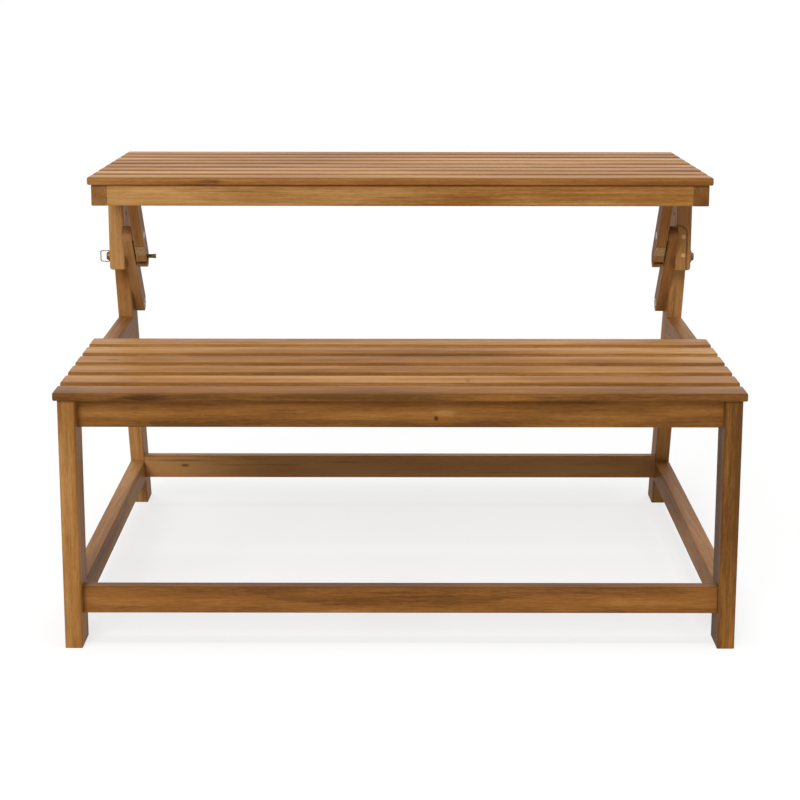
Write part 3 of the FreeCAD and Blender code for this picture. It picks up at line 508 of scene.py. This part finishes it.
def smooth_copy(name, end_round=0.0, segments=3):
    """Piece that stands for a packed one, shaded smooth, or a slat with its sawn ends rounded too."""
    packed = frame["nodes"][name]
    mesh = packed.data.copy()
    work = bmesh.new()
    work.from_mesh(mesh)
    bmesh.ops.remove_doubles(work, verts=work.verts, dist=0.00001)
    bmesh.ops.dissolve_limit(work, angle_limit=FLAT_ANGLE, verts=work.verts, edges=work.edges)
    if end_round:
        ends = [edge for edge in work.edges
                if edge.is_manifold and edge.calc_face_angle() > END_ROUND_ANGLE]
        bmesh.ops.bevel(work, geom=ends, offset=end_round, offset_type="OFFSET", segments=segments,
                        profile=0.5, affect="EDGES", clamp_overlap=True)
    for face in work.faces:
        face.smooth = not end_round or max(abs(part) for part in face.normal) < 0.999
    work.to_mesh(mesh)
    work.free()
    mesh.set_sharp_from_angle(angle=SHARP_ANGLE)
    piece = bpy.data.objects.new(name + "_finished", mesh)
    bpy.context.scene.collection.objects.link(piece)
    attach(piece, packed["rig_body"])
    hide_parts(name)
    return piece


def finish_boards(context, boards, first_seed):
    """Give each board of a group its own material."""
    look = context.scene.bench_wood
    for index, (name, board) in enumerate(boards.items()):
        dress(name, oiled_acacia(look, name, board, first_seed + index))


def round_slats(context, slats):
    """Round the sawn ends of a group of slats."""
    shape = context.scene.bench_slats
    for name in slats:
        smooth_copy(name, shape.end_round, shape.segments)


class FinishSeatSlats(bpy.types.Operator):
    """Oil the slats of the seat and round their ends"""
    bl_idname = "bench.finish_seat_slats"
    bl_label = "Seat slats"

    def execute(self, context):
        """Material and rounding for each slat."""
        finish_boards(context, SEAT_SLATS, 3)
        round_slats(context, SEAT_SLATS)
        return {"FINISHED"}


class FinishTableSlats(bpy.types.Operator):
    """Oil the slats of the table top and round their ends"""
    bl_idname = "bench.finish_table_slats"
    bl_label = "Table slats"

    def execute(self, context):
        """Material and rounding for each slat."""
        finish_boards(context, TABLE_SLATS, 21)
        round_slats(context, TABLE_SLATS)
        return {"FINISHED"}


class FinishUnderTable(bpy.types.Operator):
    """Oil the boards under the table top"""
    bl_idname = "bench.finish_under_table"
    bl_label = "Boards under the table"

    def execute(self, context):
        """Material for each board."""
        finish_boards(context, UNDER_TABLE, 41)
        return {"FINISHED"}


class FinishLegs(bpy.types.Operator):
    """Oil the legs and the blocks on them"""
    bl_idname = "bench.finish_legs"
    bl_label = "Legs and blocks"

    def execute(self, context):
        """Material for each leg and block."""
        finish_boards(context, LEGS, 61)
        return {"FINISHED"}


class FinishRails(bpy.types.Operator):
    """Oil the rails, stretchers and battens"""
    bl_idname = "bench.finish_rails"
    bl_label = "Rails and stretchers"

    def execute(self, context):
        """Material for each rail."""
        finish_boards(context, RAILS, 81)
        return {"FINISHED"}


class FinishBraces(bpy.types.Operator):
    """Oil the slanting braces and struts"""
    bl_idname = "bench.finish_braces"
    bl_label = "Braces and struts"

    def execute(self, context):
        """Material for each brace and strut."""
        finish_boards(context, BRACES, 101)
        return {"FINISHED"}


class FinishPinsAndRings(bpy.types.Operator):
    """Finish the lock pins, pull rings and strut plates in brass"""
    bl_idname = "bench.finish_pins"
    bl_label = "Pins, rings and plates"

    def execute(self, context):
        """Brass for every one, and smooth pins and rings."""
        look = context.scene.bench_fittings
        # The plates' paler brass is partly painted light over their shade
        plate = dull_brass(look, "pressed_plated_brass", look.plate, 0.4)
        for name in ("strut_plate_left", "strut_plate_right", "plate_screws"):
            dress(name, plate)
        brass = dull_brass(look, "turned_plated_brass", look.brass, 0.9)
        for name in ("lock_pin_left", "lock_pin_right", "pull_ring_left", "pull_ring_right"):
            dress(name, brass)
            smooth_copy(name)
        return {"FINISHED"}


class FinishBoltsAndPlugs(bpy.types.Operator):
    """Finish the bolts, screws, washers and plugs"""
    bl_idname = "bench.finish_bolts"
    bl_label = "Bolts, screws and plugs"

    def execute(self, context):
        """Steel for the hardware and pale wood for the plugs."""
        look = context.scene.bench_fittings
        steel = plated_steel(look)
        for name in ("pivot_bolts", "brace_bolts", "block_screws", "pivot_washers"):
            dress(name, steel)
        dress("block_plugs", sanded_plug(look))
        return {"FINISHED"}


def camera_matrix():
    """Camera's place and turn from pitch, yaw and roll."""
    pitch = math.radians(CAMERA_PITCH_DEG)
    yaw = math.radians(CAMERA_YAW_DEG)
    roll = math.radians(CAMERA_ROLL_DEG)
    ahead = Vector((math.sin(yaw) * math.cos(pitch), math.cos(yaw) * math.cos(pitch), -math.sin(pitch)))
    level = Vector((math.cos(yaw), -math.sin(yaw), 0))
    down = ahead.cross(level)
    right = level * math.cos(roll) + down * math.sin(roll)
    below = down * math.cos(roll) - level * math.sin(roll)
    return Matrix.Translation(CAMERA_PLACE) @ Matrix((right, -below, -ahead)).transposed().to_4x4()


def seen_rays(tree):
    """1 for rays that come from the camera, a reflection or something clear, and 0 for the others."""
    ray = add(tree, "ShaderNodeLightPath", output=None)
    seen = ray.outputs["Is Camera Ray"]
    for other in ("Is Glossy Ray", "Is Transmission Ray"):
        seen = add(tree, "ShaderNodeMath", {0: seen, 1: ray.outputs[other]}, operation="MAXIMUM")
    return seen


def pale_floor(look):
    """Matt floor that looks nearly white and keeps the bench's shadow."""
    material, tree = new_material("matt_pale_floor")
    seen = seen_rays(tree)
    share = add(tree, "ShaderNodeMath", {0: seen, 1: FLOOR_GLOW}, operation="MULTIPLY")
    colour = add(tree, "ShaderNodeMix", {0: seen, 6: (*look.floor, 1), 7: (1, 1, 1, 1)}, 2,
                 data_type="RGBA")
    matt = add(tree, "ShaderNodeBsdfDiffuse", {"Color": colour})
    glow = add(tree, "ShaderNodeEmission", {"Color": (1, 1, 1, 1), "Strength": 1.0})
    shader = add(tree, "ShaderNodeMixShader", {0: share, 1: matt, 2: glow})
    add(tree, "ShaderNodeOutputMaterial", {0: shader}, None)
    return material


def light_world(look):
    """Even white surroundings, pure white where the camera or a reflection sees them."""
    world = bpy.data.worlds.new("white_studio")
    world.use_nodes = True
    tree = world.node_tree
    tree.nodes.clear()
    strength = add(tree, "ShaderNodeMapRange", {0: seen_rays(tree), 1: 0.0, 2: 1.0, 3: look.fill, 4: 1.0})
    glow = add(tree, "ShaderNodeBackground", {"Color": (1, 1, 1, 1), "Strength": strength})
    add(tree, "ShaderNodeOutputWorld", {0: glow}, None)
    bpy.context.scene.world = world


def add_lamp(name, place, strength, softness):
    """Soft even light that comes from the side of a place."""
    data = bpy.data.lights.new(name, "SUN")
    data.energy = strength
    data.angle = softness
    lamp = bpy.data.objects.new(name, data)
    lamp.location = place
    lamp.rotation_euler = (Vector(LAMP_AIM) - Vector(place)).to_track_quat("-Z", "Y").to_euler()
    bpy.context.scene.collection.objects.link(lamp)


class SetStage(bpy.types.Operator):
    """Set up the floor, the light and the camera"""
    bl_idname = "bench.set_stage"
    bl_label = "Stage"

    def execute(self, context):
        """Floor, surroundings, lamps and camera."""
        look = context.scene.bench_stage
        half = look.floor_side / 2
        mesh = bpy.data.meshes.new("floor")
        corners = [(-half, -half, 0), (half, -half, 0), (half, half, 0), (-half, half, 0)]
        mesh.from_pydata(corners, [], [(0, 1, 2, 3)])
        mesh.materials.append(pale_floor(look))
        floor = bpy.data.objects.new("floor", mesh)
        context.scene.collection.objects.link(floor)
        light_world(look)
        add_lamp("key_light", KEY_PLACE, look.key, look.softness)
        add_lamp("top_light", TOP_PLACE, look.top, look.softness)
        data = bpy.data.cameras.new("photo_camera")
        data.sensor_width = SENSOR_MM
        data.lens = SENSOR_MM * FOCAL_LENGTH_PX / PHOTO_SIDE_PX
        data.clip_end = CAMERA_REACH
        camera = bpy.data.objects.new("photo_camera", data)
        camera.matrix_world = camera_matrix()
        context.scene.collection.objects.link(camera)
        context.scene.camera = camera
        context.scene.view_settings.view_transform = "Standard"
        return {"FINISHED"}


OPERATORS = (SetStage, FinishSeatSlats, FinishTableSlats, FinishUnderTable, FinishLegs, FinishRails,
             FinishBraces, FinishPinsAndRings, FinishBoltsAndPlugs)


class BenchPanel(bpy.types.Panel):
    """Sizes, colours and buttons of the bench"""
    bl_idname = "VIEW3D_PT_bench"
    bl_label = "Bench"
    bl_space_type = "VIEW_3D"
    bl_region_type = "UI"
    bl_category = "Bench"

    def draw(self, context):
        """List the settings, then the operators."""
        scene = context.scene
        for group in (scene.bench_wood, scene.bench_slats, scene.bench_fittings, scene.bench_stage):
            box = self.layout.box()
            for name in type(group).__annotations__:
                box.prop(group, name)
        for operator in OPERATORS:
            self.layout.operator(operator.bl_idname)


CLASSES = (WoodLook, SlatShape, FittingLook, StageLook, *OPERATORS, BenchPanel)
SETTINGS = {"bench_wood": WoodLook, "bench_slats": SlatShape, "bench_fittings": FittingLook,
            "bench_stage": StageLook}


def register():
    """Add the classes and the settings."""
    for cls in CLASSES:
        bpy.utils.register_class(cls)
    for name, group in SETTINGS.items():
        setattr(bpy.types.Scene, name, PointerProperty(type=group))


def unregister():
    """Take the settings and the classes away."""
    for name in SETTINGS:
        delattr(bpy.types.Scene, name)
    for cls in reversed(CLASSES):
        bpy.utils.unregister_class(cls)


def main():
    """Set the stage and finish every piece."""
    register()
    bpy.ops.bench.set_stage()
    bpy.ops.bench.finish_seat_slats()
    bpy.ops.bench.finish_table_slats()
    bpy.ops.bench.finish_under_table()
    bpy.ops.bench.finish_legs()
    bpy.ops.bench.finish_rails()
    bpy.ops.bench.finish_braces()
    bpy.ops.bench.finish_pins()
    bpy.ops.bench.finish_bolts()


if __name__ == "__main__":
    main()
